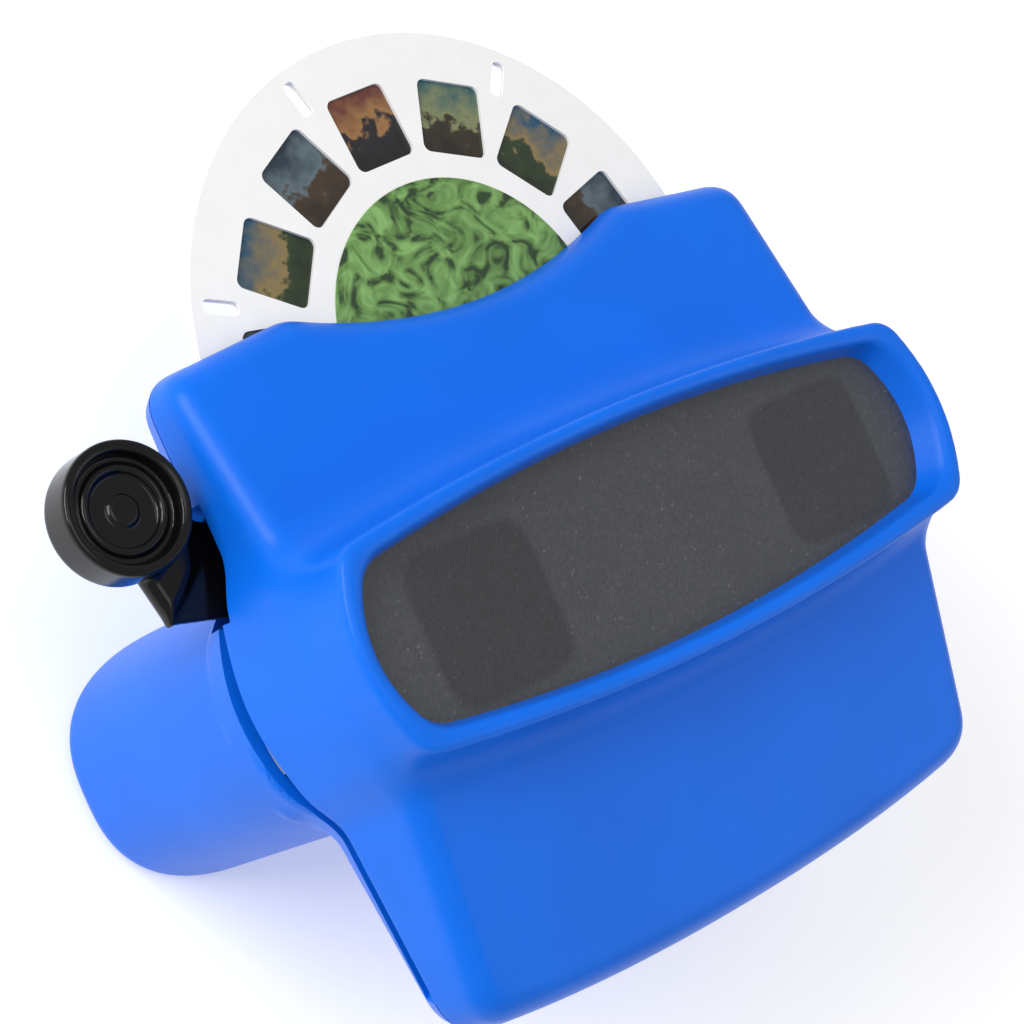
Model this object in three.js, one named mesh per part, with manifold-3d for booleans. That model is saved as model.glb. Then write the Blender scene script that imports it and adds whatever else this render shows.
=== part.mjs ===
// A hand-held stereo viewer for round picture reels: two moulded shells that meet at a parting plane,
// a frosted window on the front, two eyepieces on the back, a reel slot in the top edge, and a lever that
// turns the reel by one pair of pictures. Millimetres, +Z up. It rests on its two eyepiece rims with the
// window facing up; +Y is towards the reel slot and +X is the side away from the lever.
import * as THREE from "three";
import { mergeVertices } from "three/addons/utils/BufferGeometryUtils.js";
import Module from "manifold-3d";

const wasm = await Module();
wasm.setup();

// ---- driving dimensions -------------------------------------------------------------------------
const gap = 0.3; // between neighbouring pieces
const wall = 2; // wall of the moulded shells
const housingWall = 1.6; // wall of the window housing
const seam = 53; // height of the parting plane above the eyepiece rims

// outline of the two shells at the parting plane
const topHalf = 53.4; // half width beside the reel slot
const hipHalf = 52.4; // half width under the window
const footHalf = 49.6; // half width at the bottom edge
const shoulderY = 44; // height of the outer shoulders
const scoopHalf = 30.3; // half width of the thumb scoop in the top edge
const scoopY = 46.1; // height of the scoop's two ends
const scoopDepth = 6.1; // depth of the scoop below its ends
const footY = -49.2; // height of the bottom corners
const footBow = 2.6; // how far the bottom edge bows out
const shoulderRadius = 5;
const footRadius = 6.5;
const draft = 0.1; // inward slope of the front shell's side walls, per millimetre of height
const backDraft = 0.35; // the same on the rear shell

// window housing, a drafted barrel shape that stands out of the front shell
const windowY = 0.9; // height of the window's centre
const openingHalf = 52.7; // half length of the window's mouth
const openingRise = 15.3; // half height of the mouth at its middle
const openingCorner = 11.3; // half height of the mouth at its ends
const rimWidth = 2.1;
const rimHeight = seam + 24; // top of the rim above the eyepiece rims
const waistHalf = 58; // half length of the housing at the parting plane
const waistRise = 18.5;
const mouthDepth = 4; // depth of the pane below the rim
const mouthDraft = 2.4; // how much the mouth narrows towards the pane
const paneThickness = 1.5;
const ledge = 1.2; // how far the pane reaches under the ledge round the mouth

// sloping faces of the shells: height at the middle and fall per millimetre towards the edge
const upperFace = { middle: seam + 15.9, fall: 0.23 };
const lowerFace = { middle: seam + 19, fall: 0.235 };
const backDepth = 9; // depth of the rear shell behind the parting plane, in the middle
const backFlat = 17; // half height of the deep middle part
const backFall = 0.11;

// eyepieces
const eyeX = 32.9; // half the distance between the eyepieces' centres
const eyeY = -1.6; // height of the eyepieces' centres
const eyeHalf = 25; // half width of an eyepiece
const eyeRise = 18.2; // half height of an eyepiece
const eyeSquare = 2.6; // 2 is an ellipse, larger is squarer
const eyeLip = 3; // radius of the rounded end
const eyeLand = 2.4; // width between the funnel and the wall's outside, beyond the wall
const eyeFloor = 9; // thickness of the end wall that carries the lens
const opticX = 31.75; // half the distance between the optical axes
const lensRadius = 13.5;
const lensEdge = 2.2; // thickness of a lens at its edge
const lensBulge = 1.6; // how far each lens face stands out in the middle
const pupilRadius = lensRadius - 1.1; // clear opening in front of a lens
const funnelDepth = 5.6;
const lensGap = 0.4; // between the lens's edge and its seat
const lensRingWidth = 3.2;
const lensRingThickness = 1.4;
const ringLow = funnelDepth + lensGap + lensEdge + 0.35; // underside of the ring that holds a lens

// reel
const reelRadius = 44.5;
const cardThickness = 0.5;
const filmThickness = 0.2;
const reelLift = 35.9; // how far the reel is drawn up out of its seat
const frames = 14;
const frameRadius = 31.75;
const frameWide = 10.4; // along the rim
const frameTall = 11; // along the radius
const frameCorner = 1.2;
const filmLap = 0.35; // how far a picture reaches under the card round its frame
const frameAngle = 145.9; // degrees from +X to the first picture
const slotRadius = 40;
const slotLong = 5.4;
const slotWide = 2.1;
const labelRadius = 22.6;
const labelThickness = 0.12;

// plates that guide the reel
const plateThickness = 0.9;
const plateHalf = 43.8; // half width of the front plate
const plateTop = 35;
const plateBottom = -38.5; // lower edge of the front plate
const plateRadius = 40.4; // the lever's arc slides round this edge
const reelSlot = 2.6; // width of the slot that the reel drops into
const slotHalf = 46; // half length of that slot
const gateWide = 11.5;
const gateTall = 12.8;
const gateCorner = 2.5;

// advance lever: an arc that slides round the optical centre, an arm through the side, and a thumb pad
const arcInner = 40.8;
const arcOuter = 45.4;
const arcThickness = 1.6;
const arcTop = seam - 1.9; // upper face of the sliding arc
const arcStart = 150; // degrees
const arcEnd = 215;
const armLow = 166.6; // degrees, lower edge of the arm where it leaves the shell
const armHigh = 154;
const leverTravel = 51.43; // degrees, one seventh of a turn
const padX = -waistHalf - 7;
const padY = 29.9;
const padRadius = 8.8;
const padTop = seam + 6;
const padThickness = 6.6;
const padDish = 2.2; // depth of the dished face
const armThickness = 3.4; // arm outside the shell
const armRise = 1.7; // how far the arm outside stands above the sliding arc
const tongueTop = seam - 0.9; // upper face of the stretch that passes through the side
const tongueThickness = 1.4;
const armInner = waistHalf + 1.4; // radius at which the arm thickens
const armStep = 4.6; // how much further out its lower corner lies, to clear the foot of the shells
const armRelief = 1.8; // height of the relief above the arm in the front shell's side
const armClear = 1.2; // degrees between the arm and the end of its slot
const slotInner = arcOuter + 1.6; // radius from which the side of the rear shell is open to the arm
const armTip = 5.6; // rounding of the arm's end under the pad
const clawAngle = 178; // degrees
const clawLong = 4.5;
const clawWide = 1.5;
const springRadius = 1.1;
const springWire = 0.5;
const springStart = 127; // degrees
const springEnd = 148.6;
const springTurns = 6;

// screws that hold the two shells together
const screws = [{ x: 48.2, y: 33 }, { x: 42, y: -41 }]; // the same on both sides
const screwRadius = 1.25;
const screwHead = 2.4;
const screwHeadThickness = 1.5;
const bossRadius = 2.7;
const screwHeadTop = seam - 3.4; // height of the heads' bearing faces

// ---- small tools ------------------------------------------------------------------------------------
const rad = THREE.MathUtils.degToRad;

function solid(geometry) {
  const plain = geometry.clone();
  plain.deleteAttribute("normal");
  plain.deleteAttribute("uv");
  const merged = mergeVertices(plain, 1e-4);
  return new wasm.Manifold(
    new wasm.Mesh({
      numProp: 3,
      vertProperties: merged.attributes.position.array,
      triVerts: new Uint32Array(merged.index.array),
    }),
  );
}

function geometryOf(made) {
  const mesh = made.getMesh();
  const geometry = new THREE.BufferGeometry();
  geometry.setAttribute("position", new THREE.BufferAttribute(mesh.vertProperties, 3));
  geometry.setIndex(new THREE.BufferAttribute(mesh.triVerts, 1));
  return geometry;
}

// A flat outline raised from one height to another. change(x, y, t) moves the points of the layer at t.
function raise(points, low, high, steps = 1, change = null) {
  const geometry = new THREE.ExtrudeGeometry(new THREE.Shape(points), {
    depth: 1,
    steps,
    bevelEnabled: false,
  });
  const position = geometry.attributes.position;
  for (let i = 0; i < position.count; i++) {
    const t = position.getZ(i);
    const flat = [position.getX(i), position.getY(i)];
    const [x, y] = change ? change(...flat, t) : flat;
    position.setXYZ(i, x, y, low + (high - low) * t);
  }
  return solid(geometry);
}

// A profile in the plane of Y and Z, run across the whole width.
function across(profile, halfWidth) {
  const shape = new THREE.Shape(profile.map(([y, z]) => new THREE.Vector2(y, z)));
  const geometry = new THREE.ExtrudeGeometry(shape, {
    depth: 2 * halfWidth,
    bevelEnabled: false,
  });
  geometry.applyMatrix4(new THREE.Matrix4().makeBasis(
    new THREE.Vector3(0, 1, 0),
    new THREE.Vector3(0, 0, 1),
    new THREE.Vector3(1, 0, 0),
  ));
  geometry.translate(-halfWidth, 0, 0);
  return solid(geometry);
}

function block(x0, x1, y0, y1, z0, z1) {
  const geometry = new THREE.BoxGeometry(x1 - x0, y1 - y0, z1 - z0);
  geometry.translate((x0 + x1) / 2, (y0 + y1) / 2, (z0 + z1) / 2);
  return solid(geometry);
}

function cylinder(x, y, low, high, radius, sides = 32) {
  const geometry = new THREE.CylinderGeometry(radius, radius, high - low, sides);
  geometry.rotateX(Math.PI / 2);
  geometry.translate(x, y, (low + high) / 2);
  return solid(geometry);
}

// A profile of radius and height turned round a vertical axis at x, y.
function turned(profile, x, y, sides = 40) {
  const geometry = new THREE.LatheGeometry(profile.map(([r, z]) => new THREE.Vector2(r, z)), sides);
  geometry.rotateX(Math.PI / 2);
  geometry.translate(x, y, 0);
  return solid(geometry);
}

const polar = (radius, degrees) =>
  new THREE.Vector2(radius * Math.cos(rad(degrees)), radius * Math.sin(rad(degrees)));

// Points of an arc band between two radii and two angles.
function band(inner, outer, from, to, steps) {
  const points = [];
  for (let i = 0; i <= steps; i++) points.push(polar(outer, from + ((to - from) * i) / steps));
  for (let i = steps; i >= 0; i--) points.push(polar(inner, from + ((to - from) * i) / steps));
  return points;
}

function roundedRectangle(x, y, wide, tall, radius, turn = 0) {
  const shape = new THREE.Shape();
  const [w, h] = [wide / 2, tall / 2];
  shape.absarc(w - radius, h - radius, radius, 0, Math.PI / 2);
  shape.absarc(radius - w, h - radius, radius, Math.PI / 2, Math.PI);
  shape.absarc(radius - w, radius - h, radius, Math.PI, 1.5 * Math.PI);
  shape.absarc(w - radius, radius - h, radius, 1.5 * Math.PI, 2 * Math.PI);
  const centre = new THREE.Vector2();
  const moved = new THREE.Vector2(x, y);
  return shape.getPoints(1).map((p) => p.rotateAround(centre, turn).add(moved));
}

// Moves a closed anticlockwise outline inwards by a distance.
function inset(points, distance) {
  return points.map((p, i) => {
    const before = points[(i + points.length - 1) % points.length];
    const after = points[(i + 1) % points.length];
    const along = after.clone().sub(before).normalize();
    return new THREE.Vector2(p.x - along.y * distance, p.y + along.x * distance);
  });
}

const mirror = (points) => points.map((p) => new THREE.Vector2(-p.x, p.y)).reverse();

// ---- outlines -------------------------------------------------------------------------------------------
// Outline of the shells at the parting plane, without the window housing, anticlockwise from the foot.
function shellOutline() {
  const half = new THREE.Path();
  half.moveTo(0, footY - footBow);
  half.quadraticCurveTo(footHalf / 2, footY - footBow, footHalf - footRadius, footY);
  half.quadraticCurveTo(footHalf, footY + 0.8, footHalf + 0.6, footY + footRadius);
  half.lineTo(hipHalf, -14);
  half.lineTo(topHalf, 14);
  half.lineTo(topHalf, shoulderY - shoulderRadius);
  half.quadraticCurveTo(topHalf, shoulderY, topHalf - shoulderRadius, shoulderY + 0.4);
  half.lineTo(scoopHalf + 1.5, scoopY - 0.1);
  half.quadraticCurveTo(scoopHalf, scoopY, scoopHalf - 1.5, scoopY - 0.6);
  half.quadraticCurveTo(scoopHalf / 2, scoopY - scoopDepth, 0, scoopY - scoopDepth);
  const right = half.getPoints(5);
  const left = mirror(right).slice(1, -1);
  return [...right, ...left];
}

// A barrel outline: two long bowed sides, two short bowed ends and rounded corners, as one closed curve.
function barrelOutline(half, rise, corner, centreY = 0) {
  const shape = new THREE.Path();
  const end = half - 4;
  const soft = 3.2;
  const arch = (x) => rise - ((rise - corner) * x * x) / (end * end);
  const bow = (y) => half - ((half - end) * y * y) / (corner * corner);
  const quarter = [];
  for (let i = 0; i < 4; i++) {
    const y = ((corner - soft) * i) / 3;
    quarter.push(new THREE.Vector2(bow(y), y));
  }
  shape.moveTo(bow(corner - soft), corner - soft);
  shape.quadraticCurveTo(end + 0.4, corner + 0.1, end - soft, arch(end - soft));
  quarter.push(...shape.getPoints(5).slice(1));
  for (let i = 1; i <= 6; i++) {
    const x = (end - soft) * (1 - i / 6);
    quarter.push(new THREE.Vector2(x, arch(x)));
  }
  const upper = [...quarter, ...mirror(quarter).slice(1)];
  const lower = upper.slice(1, -1).map((p) => new THREE.Vector2(-p.x, -p.y));
  return [...upper, ...lower].map((p) => new THREE.Vector2(p.x, p.y + centreY));
}

// Outline of an eyepiece, a squared oval.
function eyeOutline(side, shrink = 0, count = 32) {
  const points = [];
  for (let i = 0; i < count; i++) {
    const a = (2 * Math.PI * i) / count;
    const power = 2 / eyeSquare;
    const x = (eyeHalf - shrink) * Math.sign(Math.cos(a)) * Math.abs(Math.cos(a)) ** power;
    const y = (eyeRise - shrink) * Math.sign(Math.sin(a)) * Math.abs(Math.sin(a)) ** power;
    points.push(new THREE.Vector2(side * eyeX + x, eyeY + y));
  }
  return points;
}

const outline = shellOutline();
const rimHalf = openingHalf + rimWidth;
const rimRise = openingRise + rimWidth;
const paneZ = rimHeight - mouthDepth; // upper face of the pane

// The window housing's outer surface, or an inner one at a distance, between two heights.
function housing(distance, low, high) {
  const points = barrelOutline(waistHalf - distance, waistRise - distance, waistRise - 4 - distance, 0);
  return raise(points, low, high, 1, (x, y, t) => {
    const share = (low + (high - low) * t - seam) / (rimHeight - seam);
    const sx = 1 - (share * (waistHalf - rimHalf)) / waistHalf;
    const sy = 1 - (share * (waistRise - rimRise)) / waistRise;
    return [x * sx, y * sy + windowY];
  });
}

// The slab part of a shell: the outline raised or lowered from the parting plane, with drafted walls.
function slab(distance, direction, reach) {
  const points = inset(outline, distance);
  const low = Math.min(seam, seam + direction * reach);
  const high = Math.max(seam, seam + direction * reach);
  const slope = direction > 0 ? draft : backDraft;
  return raise(points, low, high, 1, (x, y, t) => {
    const away = Math.abs(low + (high - low) * t - seam);
    return [x * (1 - (slope * away) / topHalf), y * (1 - (slope * away) / shoulderY)];
  });
}

// Space under the two sloping front faces, moved down by a distance.
function underFront(distance) {
  const far = 70;
  const meetY = (upperFace.middle - lowerFace.middle) / (upperFace.fall + lowerFace.fall);
  const drop = distance * 1.03;
  return across([
    [-far, seam - 10],
    [far, seam - 10],
    [far, upperFace.middle - upperFace.fall * far - drop],
    [meetY, upperFace.middle - upperFace.fall * meetY - drop],
    [-far, lowerFace.middle - lowerFace.fall * far - drop],
  ], 80);
}

// Space above the rear shell's back faces, moved up by a distance.
function aboveBack(distance) {
  const far = 70;
  const depth = seam - backDepth + distance;
  return across([
    [far, seam + 10],
    [-far, seam + 10],
    [-far, depth + backFall * (far - backFlat)],
    [-backFlat, depth],
    [backFlat, depth],
    [far, depth + backFall * (far - backFlat)],
  ], 80);
}

// Outline of the opening in the case's side that the lever's arm runs in, down to an angle.
const armNotch = (end, steps) => band(slotInner, armInner + padRadius + 2, armHigh - armClear, end, steps);

const screwPlaces = [-1, 1].flatMap((side) => screws.map(({ x, y }) => [side * x, y]));

// ---- front shell --------------------------------------------------------------------------------------
function frontShell() {
  const outer = slab(0, 1, 18).intersect(underFront(0)).add(housing(0, seam, rimHeight));
  const inner = slab(wall, 1, 18).intersect(underFront(wall)).add(housing(housingWall, seam - 1, paneZ));
  const mouth = raise(barrelOutline(openingHalf, openingRise, openingCorner, 0), paneZ - 1, rimHeight + 1, 1,
    (x, y, t) => {
      const share = 1 - (mouthDraft * (1 - t)) / openingHalf;
      return [x * share, y * share + windowY];
    });
  const slot = block(-slotHalf, slotHalf, 30, 60, seam - 1, seam + reelSlot / 2);
  const relief = raise(armNotch(armLow + armClear, 4), seam - 1, seam + armRelief);
  let shell = outer.subtract(inner).subtract(mouth).subtract(slot).subtract(relief);
  shell = shell.subtract(block(-99, 99, -99, 99, 0, seam + gap / 2));
  const inside = slab(wall / 2, 1, 18).intersect(underFront(wall / 2));
  for (const [x, y] of screwPlaces) {
    const post = cylinder(x, y, seam + gap / 2, seam + 12, bossRadius, 16).intersect(inside);
    shell = shell.add(post).subtract(cylinder(x, y, seam - 1, seam + 5.5, screwRadius + 0.05, 16));
  }
  return shell;
}

// ---- rear shell ---------------------------------------------------------------------------------------
// One eyepiece from the rim up, the outside or the inside of its wall.
function eyepiece(side, shrink, low) {
  return raise(eyeOutline(side, shrink), low, seam - 1, 1);
}

function eyepieceLip(side) {
  return raise(eyeOutline(side), 0, eyeLip, 3, (x, y, t) => {
    const pull = eyeLip * (1 - Math.sqrt(1 - (1 - t) ** 2));
    const dx = x - side * eyeX;
    const dy = y - eyeY;
    return [side * eyeX + dx * (1 - pull / eyeHalf), eyeY + dy * (1 - pull / eyeRise)];
  });
}

// The funnel that leads from an eyepiece's rim to its lens.
function funnel(side) {
  const rim = wall + eyeLand;
  return raise(eyeOutline(side, rim), -0.01, funnelDepth, 3, (x, y, t) => {
    const dx = x - side * eyeX;
    const dy = y - eyeY;
    const ease = Math.sin((t * Math.PI) / 2);
    const angle = Math.atan2(dy, dx);
    return [
      THREE.MathUtils.lerp(x, side * opticX + pupilRadius * Math.cos(angle), ease),
      THREE.MathUtils.lerp(y, pupilRadius * Math.sin(angle), ease),
    ];
  });
}

function rearShell() {
  const belly = raise(
    barrelOutline(waistHalf, waistRise, waistRise - 4, 0).map((p) => new THREE.Vector2(p.x, p.y + windowY)),
    seam - backDepth, seam, 1,
    (x, y, t) => [x, THREE.MathUtils.lerp(eyeY + (y - windowY) * 0.96, y, t)],
  );
  const outer = slab(0, -1, backDepth).intersect(aboveBack(0)).add(belly);
  const inner = slab(wall, -1, backDepth).intersect(aboveBack(wall));
  let shell = outer;
  for (const side of [-1, 1]) shell = shell.add(eyepiece(side, 0, eyeLip)).add(eyepieceLip(side));
  shell = shell.subtract(inner);
  for (const side of [-1, 1]) {
    shell = shell.subtract(eyepiece(side, wall, eyeFloor)).subtract(funnel(side));
    const seatTop = ringLow + lensRingThickness + 1;
    shell = shell.subtract(cylinder(side * opticX, 0, funnelDepth - 0.01, seatTop, lensRadius + 0.2, 28));
  }
  shell = shell.subtract(block(-99, 99, -99, 99, seam - gap / 2, 99));
  shell = shell.subtract(block(-slotHalf, slotHalf, 30, 60, seam - reelSlot / 2, seam + 1));
  // the slot in the side that the lever's arm runs in, and the deeper notch where it rests
  const run = armNotch(armLow + leverTravel + 2 * armClear, 16);
  shell = shell.subtract(raise(run, tongueTop - tongueThickness - 0.5, seam + 9));
  shell = shell.subtract(raise(armNotch(armLow + armClear, 4), arcTop - armThickness - 0.6, 99));
  const inside = slab(wall / 2, -1, backDepth).intersect(aboveBack(wall / 2));
  for (const [x, y] of screwPlaces) {
    const post = cylinder(x, y, seam - 30, seam - gap / 2, bossRadius, 16).intersect(inside);
    shell = shell.add(post).subtract(cylinder(x, y, seam - 30, seam + 1, screwRadius + 0.25, 16));
    shell = shell.subtract(cylinder(x, y, seam - 30, screwHeadTop, screwHead + 0.25, 20));
  }
  return shell;
}

// ---- parts inside the case ----------------------------------------------------------------------------
function pane() {
  const mouthHalf = openingHalf - mouthDraft;
  const mouthRise = (openingRise * mouthHalf) / openingHalf;
  const mouthCorner = (openingCorner * mouthHalf) / openingHalf;
  const points = barrelOutline(mouthHalf + ledge, mouthRise + ledge / 2, mouthCorner + ledge / 2, windowY);
  return raise(points, paneZ - paneThickness, paneZ - 0.05);
}

function gates(low, high) {
  return [-1, 1].map((side) => raise(
    roundedRectangle(side * opticX, 0, gateWide, gateTall, gateCorner), low, high,
  ));
}

function frontGatePlate() {
  const low = seam + reelSlot / 2 + gap;
  const high = low + plateThickness;
  const tall = plateTop - plateBottom;
  const points = roundedRectangle(0, plateTop - tall / 2, 2 * plateHalf, tall, 9);
  return gates(low - 1, high + 1).reduce((plate, gate) => plate.subtract(gate), raise(points, low, high));
}

function rearGatePlate() {
  const high = seam - reelSlot / 2 - gap;
  const low = high - plateThickness;
  const disc = cylinder(0, 0, low, high, plateRadius, 64).intersect(block(-99, 99, -99, plateTop, low, high));
  return gates(low - 1, high + 1).reduce((plate, gate) => plate.subtract(gate), disc);
}

function lightBaffle() {
  const low = seam + reelSlot / 2 + 2 * gap + plateThickness;
  return block(-0.6, 0.6, -12, 12, low, paneZ - paneThickness - gap);
}

function lens(side) {
  const low = funnelDepth + lensGap;
  const bulge = (share) => lensBulge * (1 - share * share);
  const shares = [0, 0.5, 0.8, 1];
  const below = shares.map((share) => [share * lensRadius, low - bulge(share)]);
  const above = shares.map((share) => [share * lensRadius, low + lensEdge + bulge(share)]).reverse();
  return turned([...below, ...above], side * opticX, 0, 28);
}

function lensRing(side) {
  const low = ringLow;
  const high = low + lensRingThickness;
  const inner = lensRadius - lensRingWidth;
  return turned(
    [[inner, low + 0.6], [lensRadius - 1.2, low], [lensRadius - 0.2, low], [lensRadius - 0.2, high],
      [inner, high], [inner, low + 0.6]], side * opticX, 0, 28,
  );
}

// ---- lever ---------------------------------------------------------------------------------------------
function advanceLever() {
  const low = arcTop - arcThickness;
  const thickTop = arcTop + armRise;
  const arc = raise(band(arcInner, arcOuter, arcStart, arcEnd, 14), low, arcTop);
  const reach = band(arcOuter - 1, armInner + armStep, armHigh, armLow, 3);
  const tongue = raise(reach, tongueTop - tongueThickness, tongueTop);
  const root = [
    polar(armInner, armHigh),
    polar(armInner, (armHigh + armLow) / 2),
    polar(armInner + armStep * 0.4, armLow - (armLow - armHigh) / 4),
    polar(armInner + armStep, armLow),
  ];
  const padCentre = new THREE.Vector2(padX, padY);
  const tip = [278, 256, 234, 212, 190].map((angle) => polar(armTip, angle).add(padCentre));
  const sides = [...root, ...tip, new THREE.Vector2(padX, padY + 5)].reverse();
  const arm = raise(sides, thickTop - armThickness, thickTop);
  const pad = turned([
    [0, padTop - padThickness],
    [padRadius - 1.2, padTop - padThickness],
    [padRadius, padTop - padThickness + 1.5],
    [padRadius, padTop - 1.2],
    [padRadius - 1, padTop],
    [padRadius - 2.2, padTop - 0.3],
    [padRadius * 0.6, padTop - padDish],
    [0, padTop - padDish],
  ], padX, padY, 32);
  return arc.add(tongue).add(arm).add(pad);
}

function advanceClaw() {
  const middle = polar((arcInner + arcOuter) / 2 - 1.2, clawAngle);
  const turn = rad(clawAngle);
  return raise(roundedRectangle(middle.x, middle.y, clawWide, clawLong, 0.4, turn),
    arcTop + 0.02, seam - reelSlot / 2 - 0.2);
}

class ArcHelix extends THREE.Curve {
  getPoint(t, target = new THREE.Vector3()) {
    const along = rad(springStart + (springEnd - springStart) * t);
    const turn = 2 * Math.PI * springTurns * t;
    const radius = (arcInner + arcOuter) / 2 + springRadius * Math.cos(turn);
    const height = arcTop - arcThickness / 2 + springRadius * Math.sin(turn);
    return target.set(radius * Math.cos(along), radius * Math.sin(along), height);
  }
}

function returnSpring() {
  const section = new THREE.Shape();
  for (let i = 0; i < 5; i++) {
    const corner = polar(springWire / 2, 72 * i);
    if (i) section.lineTo(corner.x, corner.y);
    else section.moveTo(corner.x, corner.y);
  }
  return solid(new THREE.ExtrudeGeometry(section, { steps: springTurns * 8, extrudePath: new ArcHelix() }));
}

function screw([x, y]) {
  const headLow = screwHeadTop - screwHeadThickness;
  return turned([
    [0, headLow],
    [screwHead, headLow],
    [screwHead, screwHeadTop - 0.05],
    [screwRadius, screwHeadTop - 0.05],
    [screwRadius, seam + 4.6],
    [0, seam + 5.2],
  ], x, y, 16);
}

// ---- reel ------------------------------------------------------------------------------------------------
const frameAngles = Array.from({ length: frames }, (_, i) => frameAngle - (360 * i) / frames);
const filmLow = seam - filmThickness / 2;
const cardLap = 0.03; // between the layers of the reel

function frameShape(angle, wide, tall, corner) {
  const middle = polar(frameRadius, angle);
  return roundedRectangle(middle.x, middle.y + reelLift, wide, tall, corner, rad(angle - 90));
}

function card(low) {
  let made = cylinder(0, reelLift, low, low + cardThickness, reelRadius, 48);
  for (const angle of frameAngles) {
    made = made.subtract(raise(frameShape(angle, frameWide, frameTall, frameCorner), low - 1, low + 1));
  }
  for (let i = 0; i < frames; i += 2) {
    const angle = frameAngles[i] + 180 / frames;
    const middle = polar(slotRadius, angle);
    const turn = rad(angle - 90);
    const notch = roundedRectangle(middle.x, middle.y + reelLift, slotWide, slotLong, 0.5, turn);
    made = made.subtract(raise(notch, low - 1, low + 1));
  }
  return made;
}

const film = (angle) => raise(
  frameShape(angle, frameWide + 2 * filmLap, frameTall + 2 * filmLap, 0.3), filmLow, filmLow + filmThickness,
);

const frontCardLow = filmLow + filmThickness + cardLap;
const backCardLow = filmLow - cardLap - cardThickness;
const label = (low) => cylinder(0, reelLift, low, low + labelThickness, labelRadius, 32);

// ---- assembly ----------------------------------------------------------------------------------------
const viewer = new THREE.Group();
const colours = {
  blue: { color: 0x146eeb, roughness: 0.32, metalness: 0 },
  black: { color: 0x0b0b0c, roughness: 0.18, metalness: 0 },
  dark: { color: 0x1b1d20, roughness: 0.6, metalness: 0 },
  pane: { color: 0x5c6066, roughness: 0.5, metalness: 0 },
  clear: { color: 0xdfeaf0, roughness: 0.05, metalness: 0 },
  steel: { color: 0xb8bcc0, roughness: 0.3, metalness: 1 },
  card: { color: 0xf2f1ec, roughness: 0.7, metalness: 0 },
  label: { color: 0x5fa23c, roughness: 0.6, metalness: 0 },
  film: { color: 0x2a2430, roughness: 0.2, metalness: 0 },
};

function add(name, made, colour, parent = viewer) {
  const mesh = new THREE.Mesh(geometryOf(made), new THREE.MeshStandardMaterial(colours[colour]));
  mesh.name = name;
  parent.add(mesh);
}

add("front_shell", frontShell(), "blue");
add("rear_shell", rearShell(), "blue");
add("diffuser_pane", pane(), "pane");
add("light_baffle", lightBaffle(), "dark");
add("front_gate_plate", frontGatePlate(), "dark");
add("rear_gate_plate", rearGatePlate(), "dark");
for (const [name, side] of [["left", -1], ["right", 1]]) {
  add(`${name}_lens`, lens(side), "clear");
  add(`${name}_lens_ring`, lensRing(side), "dark");
}
screwPlaces.forEach((place, i) => add(`case_screw_${i + 1}`, screw(place), "steel"));

const lever = new THREE.Group();
viewer.add(lever);
add("advance_lever", advanceLever(), "black", lever);
add("advance_claw", advanceClaw(), "steel", lever);
add("return_spring", returnSpring(), "steel");

const reel = new THREE.Group();
viewer.add(reel);
add("reel_front_card", card(frontCardLow), "card", reel);
add("reel_back_card", card(backCardLow), "card", reel);
add("reel_label", label(frontCardLow + cardThickness + cardLap), "label", reel);
add("reel_back_label", label(backCardLow - cardLap - labelThickness), "label", reel);
frameAngles.forEach((angle, i) => add(`film_${String(i + 1).padStart(2, "0")}`, film(angle), "film", reel));

// the origin is under the middle of the whole object, level with the eyepiece rims
const left = padX - padRadius;
const bottom = footY - footBow;
viewer.position.set(-(left + waistHalf) / 2, -(bottom + reelLift + reelRadius) / 2, 0);

export default viewer;
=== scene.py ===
"""A stereo viewer for round picture reels: moulded shells, frosted window, lever, lenses and reel."""

import math

import bmesh
import bpy
import numpy as np
import openvdb
from mathutils import Matrix, Vector


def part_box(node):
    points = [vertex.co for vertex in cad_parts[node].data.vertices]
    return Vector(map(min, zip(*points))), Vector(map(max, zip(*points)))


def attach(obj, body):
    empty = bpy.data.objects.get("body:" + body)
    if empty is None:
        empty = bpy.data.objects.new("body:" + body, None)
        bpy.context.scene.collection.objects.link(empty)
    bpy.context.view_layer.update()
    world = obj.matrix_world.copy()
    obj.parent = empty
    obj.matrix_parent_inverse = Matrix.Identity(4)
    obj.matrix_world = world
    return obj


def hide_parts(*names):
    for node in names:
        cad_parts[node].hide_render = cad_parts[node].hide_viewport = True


bl_info = {
    "name": "Stereo Viewer",
    "version": (1, 0, 0),
    "blender": (4, 5, 0),
    "location": "View3D > Sidebar > Stereo Viewer",
    "description": "Builds the finished pieces of a stereo viewer and the stage it lies on",
    "category": "Object",
}

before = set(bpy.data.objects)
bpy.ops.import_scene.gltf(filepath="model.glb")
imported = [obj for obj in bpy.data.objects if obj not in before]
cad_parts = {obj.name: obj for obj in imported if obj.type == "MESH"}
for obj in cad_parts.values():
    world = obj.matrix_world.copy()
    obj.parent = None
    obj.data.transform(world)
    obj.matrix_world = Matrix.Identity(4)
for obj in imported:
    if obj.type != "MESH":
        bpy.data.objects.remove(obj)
MM = 0.001
REEL_LIFT = 35.9  # how far the reel is drawn up, in millimetres
REEL_LOW, REEL_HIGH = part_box("reel_front_card")
CENTRE = (REEL_LOW + REEL_HIGH) / 2 - Vector((0, REEL_LIFT * MM, 0))
CENTRE.z = 0

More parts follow.
